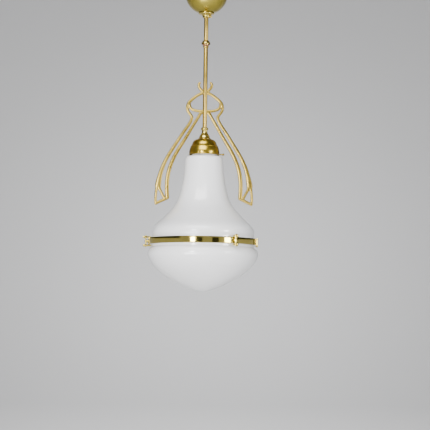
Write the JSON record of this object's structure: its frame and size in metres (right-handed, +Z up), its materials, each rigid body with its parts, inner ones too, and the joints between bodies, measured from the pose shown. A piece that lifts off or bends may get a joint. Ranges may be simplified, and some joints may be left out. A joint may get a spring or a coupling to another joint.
{
  "type": "pendant ceiling light",
  "caption": "Brass ceiling pendant with cast side arms and a two-part opal glass shade, a bell over a bowl, joined by a polished ring with clamping clips.",
  "frame": {"origin": "centre of the ceiling bar's face on the ceiling", "axes": "+Z up out of the ceiling face, the lamp hangs into -Z; X along the ceiling bar and in the plane of the two side arms; -Y is the front"},
  "size_m": [0.2663, 0.2554, 0.7026],
  "materials": {
    "plated_steel": "zinc-plated steel",
    "white_plastic": "moulded nylon",
    "contact_brass": "plain contact brass",
    "brown_insulation": "silicone insulation",
    "blue_insulation": "silicone insulation",
    "earth_insulation": "green and yellow silicone insulation",
    "satin_brass": "satin drawn brass, lightly lacquered",
    "washer_fibre": "fibre washer",
    "cast_brass": "satin-finished brass casting",
    "spun_brass": "spun brass with a warm olive-gold lacquer",
    "polished_brass": "mirror-polished brass",
    "opal_glass": "blown triplex opal glass, satin gloss",
    "white_ceramic": "glazed porcelain",
    "bulb_aluminium": "pressed aluminium screw cap",
    "black_insulator": "vitrified black insulator",
    "frosted_glass": "internally frosted glass"
  },
  "bodies": {
    "ceiling_mount": {"ceiling_bar": "plated_steel", "tube_locknuts": "plated_steel", "terminal_block": "white_plastic", "terminal_sleeves": "contact_brass", "terminal_screws": "plated_steel", "block_screw": "plated_steel", "earth_screw": "plated_steel", "earth_lug": "contact_brass", "earth_wire": "earth_insulation", "live_wire_upper": "brown_insulation", "neutral_wire_upper": "blue_insulation", "upper_tube": "satin_brass", "joint_housing_upper": "satin_brass", "joint_housing_lower": "satin_brass"},
    "canopy": {"canopy_cup": "spun_brass", "canopy_collar": "spun_brass", "canopy_nut": "spun_brass"},
    "collar_screw": {"collar_screw": "spun_brass"},
    "joint_pressure_washer": {"joint_pressure_washer": "washer_fibre"},
    "joint_seat": {"joint_seat_ring": "washer_fibre"},
    "bulb": {"bulb_glass": "frosted_glass", "bulb_cap": "bulb_aluminium", "bulb_insulator": "black_insulator", "bulb_contact": "contact_brass"},
    "closing_pin": {"closing_pin": "polished_brass"},
    "gallery_screw_1": {"gallery_screw_1": "spun_brass"},
    "ring_screw_upper_1": {"ring_screw_upper_1": "polished_brass"},
    "ring_screw_lower_1": {"ring_screw_lower_1": "polished_brass"},
    "gallery_screw_2": {"gallery_screw_2": "spun_brass"},
    "ring_screw_upper_2": {"ring_screw_upper_2": "polished_brass"},
    "ring_screw_lower_2": {"ring_screw_lower_2": "polished_brass"},
    "gallery_screw_3": {"gallery_screw_3": "spun_brass"},
    "ring_screw_upper_3": {"ring_screw_upper_3": "polished_brass"},
    "ring_screw_lower_3": {"ring_screw_lower_3": "polished_brass"},
    "pendant": {"arm_left": "cast_brass", "arm_right": "cast_brass", "bowl": "opal_glass", "clip_bridges": "polished_brass", "clip_rivets": "polished_brass", "closure_leaf_left": "polished_brass", "closure_leaf_right": "polished_brass", "closure_rivets": "polished_brass", "gallery_bushes": "spun_brass", "gallery_cup": "spun_brass", "gallery_locknut": "spun_brass", "gallery_trumpet": "spun_brass", "joint_ball": "satin_brass", "lampholder_cap": "spun_brass", "lampholder_ceramic": "white_ceramic", "lampholder_contact": "contact_brass", "lampholder_screws": "plated_steel", "lampholder_shell": "contact_brass", "lampholder_skirt": "spun_brass", "live_wire_lower": "brown_insulation", "lower_tube": "satin_brass", "neutral_wire_lower": "blue_insulation", "ring_band": "polished_brass", "upper_glass": "opal_glass"}
  },
  "joints": [
    {"name": "canopy_slide", "type": "slide", "parent": "ceiling_mount", "child": "canopy", "axis": [0, 0, -1], "range_m": [0, 0.045]},
    {"name": "collar_screw_out", "type": "slide", "parent": "canopy", "child": "collar_screw", "axis": [0.9659, -0.2588, 0], "range_m": [0, 0.003]},
    {"name": "pendant_turn", "type": "hinge", "parent": "ceiling_mount", "child": "joint_pressure_washer", "pos_m": [0, 0, -0.126], "axis": [0, 0, 1], "range_deg": [-170, 170]},
    {"name": "pendant_swing_x", "type": "hinge", "parent": "joint_pressure_washer", "child": "joint_seat", "pos_m": [0, 0, -0.126], "axis": [1, 0, 0], "range_deg": [-8, 8]},
    {"name": "pendant_swing_y", "type": "hinge", "parent": "joint_seat", "child": "pendant", "pos_m": [0, 0, -0.126], "axis": [0, 1, 0], "range_deg": [-8, 8]},
    {"name": "bulb_unscrew", "type": "hinge", "parent": "pendant", "child": "bulb", "pos_m": [0, 0, -0.39], "axis": [0, 0, 1], "range_deg": [0, 720]},
    {"name": "closing_pin_out", "type": "slide", "parent": "pendant", "child": "closing_pin", "axis": [0, 0, -1], "range_m": [0, 0.016]},
    {"name": "gallery_screw_1_out", "type": "slide", "parent": "pendant", "child": "gallery_screw_1", "axis": [0.9744, 0.225, 0], "range_m": [0, 0.0045]},
    {"name": "gallery_screw_2_out", "type": "slide", "parent": "pendant", "child": "gallery_screw_2", "axis": [-0.682, 0.7314, 0], "range_m": [0, 0.0045]},
    {"name": "gallery_screw_3_out", "type": "slide", "parent": "pendant", "child": "gallery_screw_3", "axis": [-0.2924, -0.9563, 0], "range_m": [0, 0.0045]},
    {"name": "ring_screw_upper_1_out", "type": "slide", "parent": "pendant", "child": "ring_screw_upper_1", "axis": [0.5736, -0.8192, 0], "range_m": [0, 0.0065]},
    {"name": "ring_screw_lower_1_out", "type": "slide", "parent": "pendant", "child": "ring_screw_lower_1", "axis": [0.5736, -0.8192, 0], "range_m": [0, 0.0065]},
    {"name": "ring_screw_upper_2_out", "type": "slide", "parent": "pendant", "child": "ring_screw_upper_2", "axis": [0.4226, 0.9063, 0], "range_m": [0, 0.0065]},
    {"name": "ring_screw_lower_2_out", "type": "slide", "parent": "pendant", "child": "ring_screw_lower_2", "axis": [0.4226, 0.9063, 0], "range_m": [0, 0.0065]},
    {"name": "ring_screw_upper_3_out", "type": "slide", "parent": "pendant", "child": "ring_screw_upper_3", "axis": [-0.9962, -0.0872, 0], "range_m": [0, 0.0065]},
    {"name": "ring_screw_lower_3_out", "type": "slide", "parent": "pendant", "child": "ring_screw_lower_3", "axis": [-0.9962, -0.0872, 0], "range_m": [0, 0.0065]}
  ]
}
